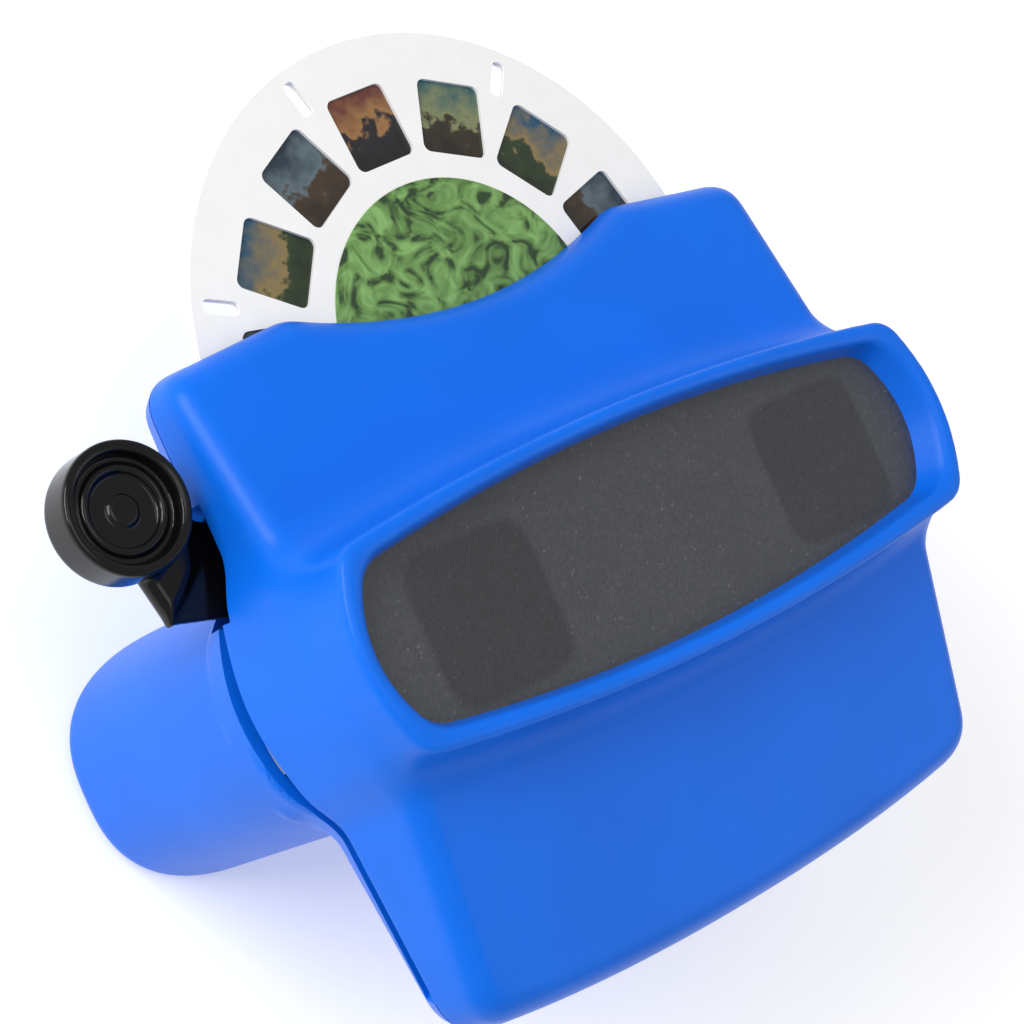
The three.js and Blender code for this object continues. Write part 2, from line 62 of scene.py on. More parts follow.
# ---- sizes shared by several pieces, in millimetres from the point midway between the optical axes
SEAM = 53
SEAM_GAP = 0.3
RIM = SEAM + 24
PANE = RIM - 4
BACK = SEAM - 9
WALL = 2
DRAFT, BACK_DRAFT = 0.1, 0.35
OPTIC_X = 31.75
EYE_X, EYE_Y = 32.9, -1.6
EYE_HALF, EYE_RISE, EYE_SQUARE = 25, 18.2, 2.6
WINDOW_Y = 0.9
FOOT = 51.8  # how far the foot's edge is below the optical axes
WAIST_HALF, WAIST_RISE = 58, 18.5  # window housing at the parting plane
RIM_HALF, RIM_RISE = 54.8, 17.4  # and at its rim
MOUTH_HALF, MOUTH_RISE, MOUTH_CORNER = 52.7, 15.3, 11.3
MOUTH_DRAFT = 2.4  # how much the mouth narrows towards the pane
HOUSING_WALL = 1.6
UPPER_HEIGHT, UPPER_FALL = 15.9, 0.23  # front faces: height over the parting plane, and slope
LOWER_HEIGHT, LOWER_FALL = 19, 0.235
LENS_RADIUS, FUNNEL_DEPTH, EYE_FLOOR = 13.5, 5.6, 9
PUPIL = LENS_RADIUS - 1.1
POST_RADIUS = 2.7
REEL_RADIUS, LABEL_RADIUS, FRAMES, FIRST_FRAME = 44.5, 22.6, 14, 145.9
SLOT_HALF, SLOT_RISE = 46, 1.3  # opening for the reel
ARM_RUN = (47, 70)  # radii of the opening that the lever's arm runs in
ARM_TOP, ARM_REST, ARM_PRESSED = 152.8, 167.8, 220.6  # angles where that opening ends
SCREWS = [(side * x, y) for side in (-1, 1) for x, y in ((48.2, 33), (42, -41))]
HEAD_TOP = SEAM - 3.4


# ---- outlines ---------------------------------------------------------------------------------
def curve(start, control, end, steps=14):
    """Points of a quadratic curve after its start."""
    made = []
    for i in range(1, steps + 1):
        t = i / steps
        made.append(tuple((1 - t) ** 2 * a + 2 * t * (1 - t) * b + t * t * c
                          for a, b, c in zip(start, control, end)))
    return made


def shell_outline():
    """Outline of both shells at the parting plane."""
    right = [(0, -FOOT)]
    right += curve((0, -FOOT), (24.8, -FOOT), (43.1, -49.2))
    right += curve((43.1, -49.2), (49.6, -48.4), (50.2, -42.7))
    right += [(52.4, -14), (53.4, 14), (53.4, 39)]
    right += curve((53.4, 39), (53.4, 44), (48.4, 44.4))
    right += [(31.8, 46)]
    right += curve((31.8, 46), (30.3, 46.1), (28.8, 45.5))
    right += curve((28.8, 45.5), (15.15, 40), (0, 40))
    return right + [(-x, y) for x, y in right[-2:0:-1]]


def barrel_outline(half, rise, corner):
    """Bowed sides, bowed ends and rounded corners."""
    end, soft = half - 4, 3.2
    arch = lambda x: rise - (rise - corner) * x * x / (end * end)
    bow = lambda y: half - (half - end) * y * y / (corner * corner)
    quarter = [(bow(y), y) for y in np.linspace(0, corner - soft, 10)]
    quarter += curve(quarter[-1], (end + 0.4, corner + 0.1), (end - soft, arch(end - soft)))
    quarter += [(x, arch(x)) for x in np.linspace(end - soft, 0, 18)[1:]]
    upper = quarter + [(-x, y) for x, y in quarter[-2::-1]]
    return upper + [(-x, -y) for x, y in upper[1:-1]]


def eye_outline(side):
    """The squared oval of an eyepiece."""
    made = []
    for a in np.linspace(0, 2 * np.pi, 120, endpoint=False):
        c, s = math.cos(a), math.sin(a)
        power = 2 / EYE_SQUARE
        made.append((side * EYE_X + EYE_HALF * math.copysign(abs(c) ** power, c),
                     EYE_Y + EYE_RISE * math.copysign(abs(s) ** power, s)))
    return made


class Outline:
    """Signed distance to a closed outline, looked up from a fine grid."""

    def __init__(self, points, step=0.3, margin=14):
        points = np.array(points, float)
        self.low, self.step = points.min(0) - margin, step
        counts = np.ceil((points.max(0) + margin - self.low) / step).astype(int) + 1
        x = (self.low[0] + step * np.arange(counts[0]))[:, None]
        y = (self.low[1] + step * np.arange(counts[1]))[None, :]
        nearest = np.full(tuple(counts), 1e9)
        inside = np.zeros(tuple(counts), bool)
        for (ax, ay), (bx, by) in zip(points, np.roll(points, -1, 0)):
            dx, dy = bx - ax, by - ay
            t = np.clip(((x - ax) * dx + (y - ay) * dy) / (dx * dx + dy * dy), 0, 1)
            nearest = np.minimum(nearest, (x - ax - t * dx) ** 2 + (y - ay - t * dy) ** 2)
            if ay != by:
                inside ^= ((ay > y) != (by > y)) & (x < dx * (y - ay) / dy + ax)
        self.field = np.where(inside, -1, 1) * np.sqrt(nearest)

    def __call__(self, x, y):
        top = np.array(self.field.shape) - 1.001
        u = np.clip((x - self.low[0]) / self.step, 0, top[0])
        v = np.clip((y - self.low[1]) / self.step, 0, top[1])
        i, j = u.astype(int), v.astype(int)
        u, v = u - i, v - j
        f = self.field
        return ((1 - u) * ((1 - v) * f[i, j] + v * f[i, j + 1])
                + u * ((1 - v) * f[i + 1, j] + v * f[i + 1, j + 1]))


# ---- joining and rounding distances -----------------------------------------------------------------
def both(a, b, radius=0.0):
    """Where a and b are both solid, its edge rounded."""
    if not radius:
        return np.maximum(a, b)
    u, v = np.maximum(a + radius, 0), np.maximum(b + radius, 0)
    return np.minimum(np.maximum(a, b), -radius) + np.hypot(u, v)


def either(a, b, radius=0.0):
    """Where a or b is solid, its inner corner filled."""
    return -both(-a, -b, radius)


SLAB = Outline(shell_outline())
WAIST = Outline(barrel_outline(WAIST_HALF, WAIST_RISE, WAIST_RISE - 4))
MOUTH = Outline(barrel_outline(MOUTH_HALF, MOUTH_RISE, MOUTH_CORNER))
EYES = {side: Outline(eye_outline(side)) for side in (-1, 1)}


def slab(x, y, z):
    return SLAB(x, y) + np.where(z > SEAM, DRAFT, BACK_DRAFT) * np.abs(z - SEAM)


def roof(x, y, z, drop=0.0):
    """The two sloping faces of the front."""
    upper = (z - SEAM - UPPER_HEIGHT + UPPER_FALL * y) / math.hypot(1, UPPER_FALL)
    lower = (z - SEAM - LOWER_HEIGHT - LOWER_FALL * y) / math.hypot(1, LOWER_FALL)
    return np.maximum(upper, lower) + drop


def housing(x, y, z):
    """The window housing, which narrows towards its rim."""
    share = (z - SEAM) / (RIM - SEAM)
    across = 1 - share * (WAIST_HALF - RIM_HALF) / WAIST_HALF
    along = 1 - share * (WAIST_RISE - RIM_RISE) / WAIST_RISE
    return WAIST(x / across, (y - WINDOW_Y) / along)


def front_form(x, y, z):
    """Distance to the front shell, which runs on below the parting plane for trimming."""
    outer = both(slab(x, y, z), roof(x, y, z), look().edge)
    outer = either(outer, both(housing(x, y, z), z - RIM, 1.0), look().fillet)
    share = 1 - MOUTH_DRAFT / MOUTH_HALF * np.clip((RIM - z) / 4, 0, 1.2)
    mouth = both(MOUTH(x / share, (y - WINDOW_Y) / share), PANE - 4 - z)
    outer = both(outer, -mouth, 1.0)
    hollow = both(slab(x, y, z) + WALL, roof(x, y, z, WALL))
    hollow = np.minimum(hollow, both(housing(x, y, z) + HOUSING_WALL, z - PANE + 2))
    form = both(outer, -hollow)
    for sx, sy in SCREWS:
        form = np.minimum(form, np.maximum(np.hypot(x - sx, y - sy) - POST_RADIUS, outer + 1))
    return both(form, SEAM - 4 - z)


def rear_form(x, y, z):
    """Distance to the rear shell, which runs on above the parting plane for trimming."""
    back = BACK + 0.11 * np.maximum(np.abs(y) - 17, 0)
    plate = both(slab(x, y, z), back - z, look().edge)
    share = np.clip((SEAM - z) / 9, 0, 1)
    shift = WINDOW_Y + (EYE_Y - WINDOW_Y) * share
    belly = both(WAIST(x, (y - shift) / (1 - 0.04 * share)), BACK - z, 2)
    outer = either(plate, belly, 3)
    hollow = both(slab(x, y, z) + WALL, back + WALL - z)
    for side, eye in EYES.items():
        tube = both(both(eye(x, y), -z, look().lip), z - SEAM + 3)
        outer = np.minimum(outer, either(plate, tube, 3))
    form = outer
    for side, eye in EYES.items():
        hollow = np.minimum(hollow, both(eye(x, y) + WALL, EYE_FLOOR - z))
        ease = np.sin(np.clip(z / FUNNEL_DEPTH, 0, 1) * np.pi / 2)
        pupil = np.hypot(x - side * OPTIC_X, y) - PUPIL
        funnel = both((1 - ease) * (eye(x, y) + 4.4) + ease * pupil, z - FUNNEL_DEPTH)
        form = both(form, -funnel, 1.3)
        hollow = np.minimum(hollow, both(pupil - 1.3, FUNNEL_DEPTH - z))
    form = both(form, -hollow)
    for sx, sy in SCREWS:
        form = np.minimum(form, np.maximum(np.hypot(x - sx, y - sy) - POST_RADIUS, outer + 1))
    return both(form, z - SEAM - 4)


PAD_X, PAD_Y, PAD_R, PAD_TOP = -65, 29.9, 8.8, SEAM + 6
ARM = Outline([
    (r * math.cos(math.radians(a)), r * math.sin(math.radians(a)))
    for r, a in ((59.4, 154), (59.4, 160.3), (61.2, 163.4), (64, 166.6))
] + [(PAD_X + 5.6 * math.cos(math.radians(a)), PAD_Y + 5.6 * math.sin(math.radians(a)))
     for a in (278, 256, 234, 212, 190)] + [(PAD_X, PAD_Y + 5)], 0.15, 20)


def lever_form(x, y, z):
    """Distance to the lever: dished pad with raised rings, arm and the arc inside the case."""
    r = np.hypot(x - PAD_X, y - PAD_Y)
    top = PAD_TOP - np.interp(r, [0, 1.9, 2.3, 4.6, 5.1, 5.7, 6.2, 6.8, 7.4, 8.1, 9],
                              [1.5, 1.5, 1.9, 1.9, 1.1, 1.1, 1.7, 1.7, 0.15, 0, 0])
    pad = both(both(r - PAD_R, PAD_TOP - 6.6 - z, 1.2), (z - top) * 0.8, 0.5)
    arm = both(both(ARM(x, y), z - PAD_TOP + 6.2, 1.6), PAD_TOP - 9.6 - z, 1.6)
    ring = np.hypot(x, y)
    bearing = np.degrees(np.arctan2(y, x)) % 360
    flat = np.abs(z - SEAM + 2.7) - 0.8
    arc = np.maximum(np.abs(ring - 43.1) - 2.3, np.abs(bearing - 182.5) * 0.75 - 32.5 * 0.75)
    tongue = np.maximum(np.abs(ring - 54.2) - 9.8, np.abs(bearing - 160.3) - 6.3)
    thin = np.minimum(both(arc, flat, 0.3), both(tongue, np.abs(z - SEAM + 1.6) - 0.7, 0.3))
    return either(either(thin, arm, 0.8), pad, 1.4)


# ---- meshes ---------------------------------------------------------------------------------------
def look():
    return bpy.context.scene.viewer_look


def place(points):
    """Millimetres from the middle between the optical axes to metres in the frame."""
    return np.asarray(points, float) * MM + np.array(CENTRE)


def new_object(name, points, faces, material=None):
    mesh = bpy.data.meshes.new(name)
    mesh.from_pydata([tuple(p) for p in place(points)], [], [tuple(f) for f in faces])
    mesh.validate()
    made = bpy.data.objects.new(name, mesh)
    bpy.context.scene.collection.objects.link(made)
    if material:
        mesh.materials.append(material)
    return made


def skin(name, form, low, high, step):
    """The surface of a form, with each point moved onto it."""
    low, high = np.array(low, float), np.array(high, float)
    counts = np.ceil((high - low) / step).astype(int) + 1
    axes = [low[i] + step * np.arange(counts[i]) for i in range(3)]
    values = form(axes[0][:, None, None], axes[1][None, :, None], axes[2][None, None, :])
    grid = openvdb.FloatGrid(3 * step)
    grid.copyFromArray(np.clip(values, -3 * step, 3 * step).astype(np.float32))
    points, quads = grid.convertToQuads(isovalue=0.0)
    points = np.array(points, float) * step + low
    for _ in range(3):
        slope = np.empty_like(points)
        for i in range(3):
            ahead, behind = points.copy(), points.copy()
            ahead[:, i] += 0.05
            behind[:, i] -= 0.05
            slope[:, i] = (form(*ahead.T) - form(*behind.T)) / 0.1
        length = np.maximum((slope ** 2).sum(1), 0.25)
        move = form(*points.T) / length
        points -= np.clip(move, -step / 2, step / 2)[:, None] * slope
    made = new_object(name, points, np.array(quads))
    fix = bmesh.new()
    fix.from_mesh(made.data)
    bmesh.ops.recalc_face_normals(fix, faces=fix.faces)
    fix.to_mesh(made.data)
    fix.free()
    return made


def block(name, x0, x1, y0, y1, z0, z1):
    corners = [(x, y, z) for x in (x0, x1) for y in (y0, y1) for z in (z0, z1)]
    faces = [(0, 1, 3, 2), (4, 6, 7, 5), (0, 4, 5, 1), (2, 3, 7, 6), (0, 2, 6, 4), (1, 5, 7, 3)]
    return new_object(name, corners, faces)


def prism(name, outline, low, high):
    """A flat outline, anticlockwise, raised between two heights."""
    n = len(outline)
    points = [(x, y, low) for x, y in outline] + [(x, y, high) for x, y in outline]
    faces = [tuple(range(n - 1, -1, -1)), tuple(range(n, 2 * n))]
    faces += [(i, (i + 1) % n, n + (i + 1) % n, n + i) for i in range(n)]
    return new_object(name, points, faces)


def turned(name, profile, x, y, sides=96, material=None):
    """A profile of radius and height, from the axis round to the axis, turned about x, y."""
    points, rings = [], []
    for r, z in profile:
        if r < 1e-6:
            rings.append([len(points)])
            points.append((x, y, z))
        else:
            rings.append(list(range(len(points), len(points) + sides)))
            for i in range(sides):
                a = 2 * math.pi * i / sides
                points.append((x + r * math.cos(a), y + r * math.sin(a), z))
    faces = []
    for a, b in zip(rings, rings[1:]):
        for i in range(sides):
            j = (i + 1) % sides
            quad = [a[i % len(a)], a[j % len(a)], b[j % len(b)], b[i % len(b)]]
            faces.append(tuple(dict.fromkeys(quad)))
    made = new_object(name, points, faces, material)
    fix = bmesh.new()
    fix.from_mesh(made.data)
    bmesh.ops.recalc_face_normals(fix, faces=fix.faces)
    fix.to_mesh(made.data)
    fix.free()
    return made


def band(inner, outer, start, end, steps=40):
    angles = np.radians(np.linspace(start, end, steps))
    return ([(outer * math.cos(a), outer * math.sin(a)) for a in angles]
            + [(inner * math.cos(a), inner * math.sin(a)) for a in angles[::-1]])


def circle(x, y, radius, sides=48):
    step = 2 * math.pi / sides
    return [(x + radius * math.cos(step * i), y + radius * math.sin(step * i))
            for i in range(sides)]


def cut(piece, cutters):
    """Takes the cutters out of a piece and removes them."""
    for cutter in cutters:
        step = piece.modifiers.new("cut", "BOOLEAN")
        step.operation = "DIFFERENCE"
        step.solver = "MANIFOLD"
        step.object = cutter
    made = bpy.data.meshes.new_from_object(piece.evaluated_get(bpy.context.evaluated_depsgraph_get()))
    piece.modifiers.clear()
    piece.data = made
    for cutter in cutters:
        bpy.data.objects.remove(cutter)
    return piece


def finish_piece(piece, material, body, slot, *nodes, angle=35):
    """Smooth shading with crisp corners, material, body and the CAD nodes that it stands for."""
    piece.data.materials.clear()
    piece.data.materials.append(material)
    piece.data.shade_smooth()
    piece.data.set_sharp_from_angle(angle=math.radians(angle))
    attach(piece, body)
    if nodes:
        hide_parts(*nodes)


def paint(node, material):
    """Gives a CAD node its material."""
    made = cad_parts[node]
    made.data.materials.clear()
    made.data.materials.append(material)


# ---- copies by Geometry Nodes -------------------------------------------------------------------------
def copies_tree():
    """Copies of a piece at the points of a mesh, each turned to face away from a centre."""
    tree = bpy.data.node_groups.new("copies_at_points", "GeometryNodeTree")
    face = tree.interface
    face.new_socket("Geometry", in_out="INPUT", socket_type="NodeSocketGeometry")
    face.new_socket("Piece", in_out="INPUT", socket_type="NodeSocketObject")
    face.new_socket("Centre", in_out="INPUT", socket_type="NodeSocketVector")
    face.new_socket("Finish", in_out="INPUT", socket_type="NodeSocketMaterial")
    face.new_socket("Geometry", in_out="OUTPUT", socket_type="NodeSocketGeometry")
    node = tree.nodes.new
    entry, leave = node("NodeGroupInput"), node("NodeGroupOutput")
    info, copies = node("GeometryNodeObjectInfo"), node("GeometryNodeInstanceOnPoints")
    place_at, away = node("GeometryNodeInputPosition"), node("ShaderNodeVectorMath")
    turn, solid = node("FunctionNodeAlignRotationToVector"), node("GeometryNodeRealizeInstances")
    finish = node("GeometryNodeSetMaterial")
    away.operation = "SUBTRACT"
    turn.axis = "X"
    turn.pivot_axis = "Z"
    link = tree.links.new
    link(entry.outputs["Piece"], info.inputs["Object"])
    link(entry.outputs["Geometry"], copies.inputs["Points"])
    link(info.outputs["Geometry"], copies.inputs["Instance"])
    link(place_at.outputs[0], away.inputs[0])
    link(entry.outputs["Centre"], away.inputs[1])
    link(away.outputs[0], turn.inputs["Vector"])
    link(turn.outputs[0], copies.inputs["Rotation"])
    link(copies.outputs[0], solid.inputs[0])
    link(solid.outputs[0], finish.inputs["Geometry"])
    link(entry.outputs["Finish"], finish.inputs["Material"])
    link(finish.outputs[0], leave.inputs[0])
    return tree


def copies(name, piece, points, centre, material=None):
    """One mesh that holds a copy of the piece at each point."""
    tree = bpy.data.node_groups.get("copies_at_points") or copies_tree()
    made = new_object(name, points, [])
    step = made.modifiers.new("copies", "NODES")
    step.node_group = tree
    keys = {s.name: s.identifier for s in tree.interface.items_tree if s.in_out == "INPUT"}
    step[keys["Piece"]] = piece
    step[keys["Centre"]] = tuple(place(centre))
    step[keys["Finish"]] = material
    mesh = bpy.data.meshes.new_from_object(made.evaluated_get(bpy.context.evaluated_depsgraph_get()))
    made.modifiers.clear()
    made.data = mesh
    bpy.data.objects.remove(piece)
    return made


def at_origin(piece):
    """A pattern piece is drawn round the frame's middle, so its copies land on their points."""
    piece.data.transform(Matrix.Translation(-CENTRE))
    return piece


# ---- materials ------------------------------------------------------------------------------------
class Finish:
    """A Principled material, with helpers for what varies over it."""

    def __init__(self, name, colour, roughness, **sockets):
        self.material = bpy.data.materials.new(name)
        self.material.use_nodes = True
        self.nodes = self.material.node_tree.nodes
        self.link = self.material.node_tree.links.new
        self.shader = self.nodes["Principled BSDF"]
        self.shader.inputs["Base Color"].default_value = (*colour, 1)
        self.shader.inputs["Roughness"].default_value = roughness
        for socket, value in sockets.items():
            self.shader.inputs[socket.replace("_", " ")].default_value = value
        self.where = self.nodes.new("ShaderNodeTexCoord").outputs["Object"]

    def noise(self, scale, detail=3.0):
        node = self.nodes.new("ShaderNodeTexNoise")
        node.inputs["Scale"].default_value = scale
        node.inputs["Detail"].default_value = detail
        self.link(self.where, node.inputs["Vector"])
        return node.outputs["Fac"]

    def ramp(self, value, stops):
        node = self.nodes.new("ShaderNodeValToRGB")
        self.link(value, node.inputs["Fac"])
        while len(node.color_ramp.elements) < len(stops):
            node.color_ramp.elements.new(0.5)
        for element, (at, colour) in zip(node.color_ramp.elements, stops):
            element.position = at
            element.color = (*colour, 1)
        return node.outputs["Color"]

    def mixed(self, base, tint, share):
        """The base colour, multiplied by a tint where share is 1."""
        node = self.nodes.new("ShaderNodeMix")
        node.data_type, node.blend_type = "RGBA", "MULTIPLY"
        self.link(share, node.inputs["Factor"])
        self.link(base, node.inputs["A"])
        node.inputs["B"].default_value = (*tint, 1)
        return node.outputs["Result"]

    def maths(self, operation, value, other=0.0):
        node = self.nodes.new("ShaderNodeMath")
        node.operation = operation
        for socket, given in zip(node.inputs, (value, other)):
            if isinstance(given, (int, float)):
                socket.default_value = given
            else:
                self.link(given, socket)
        return node.outputs[0]

    def gate_shadows(self):
        """Soft squares where the gates lie behind the pane."""
        split = self.nodes.new("ShaderNodeSeparateXYZ")
        self.link(self.where, split.inputs["Vector"])
        across = self.maths("ABSOLUTE", self.maths("SUBTRACT", split.outputs["X"], CENTRE.x))
        across = self.maths("ABSOLUTE", self.maths("SUBTRACT", across, OPTIC_X * MM))
        along = self.maths("ABSOLUTE", self.maths("SUBTRACT", split.outputs["Y"], CENTRE.y))
        size = 0.0105
        sixth = [self.maths("POWER", self.maths("DIVIDE", part, size), 6) for part in (across, along)]
        far = self.maths("POWER", self.maths("ADD", *sixth), 1 / 6)
        edge = self.nodes.new("ShaderNodeMapRange")
        edge.inputs["From Min"].default_value = 0.95
        edge.inputs["From Max"].default_value = 1.05
        edge.inputs["To Min"].default_value = 1
        edge.inputs["To Max"].default_value = 0
        self.link(far, edge.inputs["Value"])
        return edge.outputs["Result"]

    def vary_roughness(self, scale, low, high):
        node = self.nodes.new("ShaderNodeMapRange")
        node.inputs["To Min"].default_value = low
        node.inputs["To Max"].default_value = high
        self.link(self.noise(scale), node.inputs["Value"])
        self.link(node.outputs["Result"], self.shader.inputs["Roughness"])
        return self

    def bump(self, height, strength, distance=0.0002):
        node = self.nodes.new("ShaderNodeBump")
        node.inputs["Strength"].default_value = strength
        node.inputs["Distance"].default_value = distance
        self.link(height, node.inputs["Height"])
        self.link(node.outputs["Normal"], self.shader.inputs["Normal"])
        return self

    def colour(self, output):
        self.link(output, self.shader.inputs["Base Color"])
        return self


def blue_plastic():
    made = Finish("blue_plastic", look().shell_colour, 0.38, Specular_IOR_Level=0.2)
    shade = tuple(look().shell_colour)
    deep = tuple(0.9 * c for c in shade)
    made.colour(made.ramp(made.noise(45), [(0.3, deep), (0.7, shade)]))
    return made.vary_roughness(160, 0.33, 0.4).bump(made.noise(900, 5), 0.04).material


def black_plastic():
    made = Finish("black_plastic", look().lever_colour, 0.16, Specular_IOR_Level=0.3)
    return made.vary_roughness(220, 0.12, 0.2).bump(made.noise(700), 0.03).material


def dark_plastic():
    made = Finish("dark_plastic", (0.014, 0.015, 0.017), 0.6)
    return made.vary_roughness(300, 0.5, 0.68).bump(made.noise(2200), 0.2).material


def frosted():
    """Grey moulded pane with a fine crystal grain."""
    made = Finish("frosted_pane", (0.1, 0.105, 0.115), 0.38, Transmission_Weight=0.5, IOR=1.49,
                  Coat_Weight=0.5, Coat_Roughness=0.2)
    cells = made.nodes.new("ShaderNodeTexVoronoi")
    cells.inputs["Scale"].default_value = 3600
    made.link(made.where, cells.inputs["Vector"])
    grain = made.ramp(cells.outputs["Color"], [(0.0, (0.06, 0.065, 0.072)), (0.9, (0.13, 0.136, 0.148)),
                                               (1.0, (0.4, 0.41, 0.43))])
    # lighter and darker patches from low-frequency noise: random clouding of the pane, and also a
    # painted sheen
    clouding_and_sheen = made.mixed(grain, (0.55, 0.55, 0.55), made.noise(28, 3))
    made.colour(made.mixed(clouding_and_sheen, (0.5, 0.5, 0.52), made.gate_shadows()))
    return made.bump(cells.outputs["Distance"], 0.3, 0.0002).material


def steel():
    made = Finish("steel", (0.6, 0.61, 0.62), 0.28, Metallic=1.0)
    return made.vary_roughness(600, 0.22, 0.36).material


def lens_plastic():
    made = Finish("lens_plastic", (0.96, 0.98, 0.985), 0.03, Transmission_Weight=1.0, IOR=1.49)
    return made.bump(made.noise(60), 0.01).material


def card():
    made = Finish("card", (0.86, 0.855, 0.82), 0.55)
    made.colour(made.ramp(made.noise(260, 6), [(0.3, (0.86, 0.855, 0.835)), (0.7, (0.89, 0.885, 0.87))]))
    return made.bump(made.noise(1800, 4), 0.12).material


def label_paper():
    """Green print with dark streaks that run round the label."""
    made = Finish("label_paper", look().label_colour, 0.45)
    streak = made.nodes.new("ShaderNodeTexNoise")
    streak.inputs["Scale"].default_value = 190
    streak.inputs["Distortion"].default_value = 2.2
    made.link(made.where, streak.inputs["Vector"])
    green = tuple(look().label_colour)
    light = tuple(min(1, 1.9 * c + 0.03) for c in green)
    stops = [(0.36, (0.02, 0.05, 0.015)), (0.46, green), (0.68, light)]
    made.colour(made.ramp(streak.outputs["Fac"], stops))
    return made.bump(made.noise(1500), 0.05).material


def film_picture(number, centre):
    """A made-up view of hills under a sky, different on each picture."""
    hue = [((0.01, 0.07, 0.13), (0.24, 0.17, 0.06), (0.02, 0.04, 0.012)),
           ((0.015, 0.03, 0.05), (0.1, 0.14, 0.16), (0.05, 0.03, 0.015)),
           ((0.12, 0.03, 0.02), (0.3, 0.15, 0.05), (0.012, 0.01, 0.014)),
           ((0.02, 0.09, 0.1), (0.2, 0.22, 0.1), (0.03, 0.02, 0.01))][number % 4]
    made = Finish(f"film_picture_{number + 1:02d}", hue[0], 0.12, Coat_Weight=0.3)
    shift = made.nodes.new("ShaderNodeMapping")
    bearing = math.atan2(centre.y - CENTRE.y - REEL_LIFT * MM, centre.x - CENTRE.x)
    turn = math.pi / 2 - bearing
    middle = Matrix.Rotation(turn, 3, "Z") @ centre
    shift.inputs["Rotation"].default_value = (0, 0, turn)
    shift.inputs["Location"].default_value = (-middle.x, -middle.y, 0)
    made.link(made.where, shift.inputs["Vector"])
    grain = made.nodes.new("ShaderNodeTexNoise")
    grain.inputs["Scale"].default_value = 330 + 20 * number
    grain.inputs["Detail"].default_value = 5
    made.link(made.where, grain.inputs["Vector"])
    split = made.nodes.new("ShaderNodeSeparateXYZ")
    made.link(shift.outputs["Vector"], split.inputs["Vector"])
    height = made.nodes.new("ShaderNodeMath")
    height.operation = "MULTIPLY_ADD"
    height.inputs[1].default_value = 75
    made.link(split.outputs["Y"], height.inputs[0])
    made.link(grain.outputs["Fac"], height.inputs[2])
    dark = tuple(0.4 * c for c in hue[2])
    stops = [(0.1, dark), (0.42, hue[2]), (0.5, hue[1]), (0.95, hue[0])]
    made.colour(made.ramp(height.outputs[0], stops))
    return made.material


made_materials = {}


def material(name):
    """A finish by its name, made the first time it is asked for."""
    if name in made_materials:
        return made_materials[name]
    makers = {"blue_plastic": blue_plastic, "black_plastic": black_plastic, "dark_plastic": dark_plastic,
              "frosted_pane": frosted, "steel": steel, "lens_plastic": lens_plastic, "card": card,
              "label_paper": label_paper}
    made_materials[name] = makers[name]()
    return made_materials[name]


# ---- settings ---------------------------------------------------------------------------------------
class ViewerLook(bpy.types.PropertyGroup):
    """Roundings in millimetres, and colours."""

    edge: bpy.props.FloatProperty(
        name="Edge", description="Rounding of the shells' outer edges", default=3.2)
    fillet: bpy.props.FloatProperty(
        name="Fillet", description="Hollow between slope and window", default=5.5)
    lip: bpy.props.FloatProperty(
        name="Lip", description="Rounding of the eyepiece ends", default=3.4)
    grain: bpy.props.FloatProperty(
        name="Grain", description="Size of the shells' mesh faces", default=0.7)
    shell_colour: bpy.props.FloatVectorProperty(
        name="Shell", description="Colour of the moulded shells", subtype="COLOR",
        default=(0.002, 0.15, 0.8))
    lever_colour: bpy.props.FloatVectorProperty(
        name="Lever", description="Colour of the lever", subtype="COLOR", default=(0.003, 0.003, 0.0035))
    label_colour: bpy.props.FloatVectorProperty(
        name="Label", description="Ground colour of the reel's label", subtype="COLOR",
        default=(0.1, 0.21, 0.05))


# ---- operators ----------------------------------------------------------------------------------------
class VIEWER_OT_front(bpy.types.Operator):
    """Front shell with its window housing"""

    bl_idname = "viewer.front"
    bl_label = "Front Shell"

    def execute(self, context):
        piece = skin("front_case", front_form, (-60, -54, SEAM - 5), (60, 49, RIM + 1.5), look().grain)
        cutters = [block("under_seam", -90, 90, -90, 90, 10, SEAM + SEAM_GAP / 2),
                   block("reel_slot", -SLOT_HALF, SLOT_HALF, 30, 70, 30, SEAM + SLOT_RISE),
                   prism("arm_relief", band(*ARM_RUN, ARM_TOP, ARM_REST), 30, SEAM + 1.8)]
        cutters += [prism("screw_hole", circle(x, y, 1.3, 24), 40, SEAM + 5.5) for x, y in SCREWS]
        cut(piece, cutters)
        finish_piece(piece, material("blue_plastic"), "case", "blue_plastic", "front_shell")
        return {"FINISHED"}


class VIEWER_OT_rear(bpy.types.Operator):
    """Rear shell with its two eyepieces"""

    bl_idname = "viewer.rear"
    bl_label = "Rear Shell"

    def execute(self, context):
        piece = skin("rear_case", rear_form, (-60, -54, -2), (60, 49, SEAM + 5), look().grain)
        cutters = [block("over_seam", -90, 90, -90, 90, SEAM - SEAM_GAP / 2, 90),
                   block("reel_slot", -SLOT_HALF, SLOT_HALF, 30, 70, SEAM - SLOT_RISE, 70),
                   prism("lever_slot", band(*ARM_RUN, ARM_TOP, ARM_PRESSED), SEAM - 2.8, 70),
                   prism("lever_notch", band(*ARM_RUN, ARM_TOP, ARM_REST), SEAM - 5.9, 70)]
        cutters += [prism("screw_hole", circle(x, y, 1.5, 24), 20, 70) for x, y in SCREWS]
        cutters += [prism("head_recess", circle(x, y, 2.65), 20, HEAD_TOP) for x, y in SCREWS]
        cut(piece, cutters)
        finish_piece(piece, material("blue_plastic"), "case", "blue_plastic", "rear_shell")
        return {"FINISHED"}


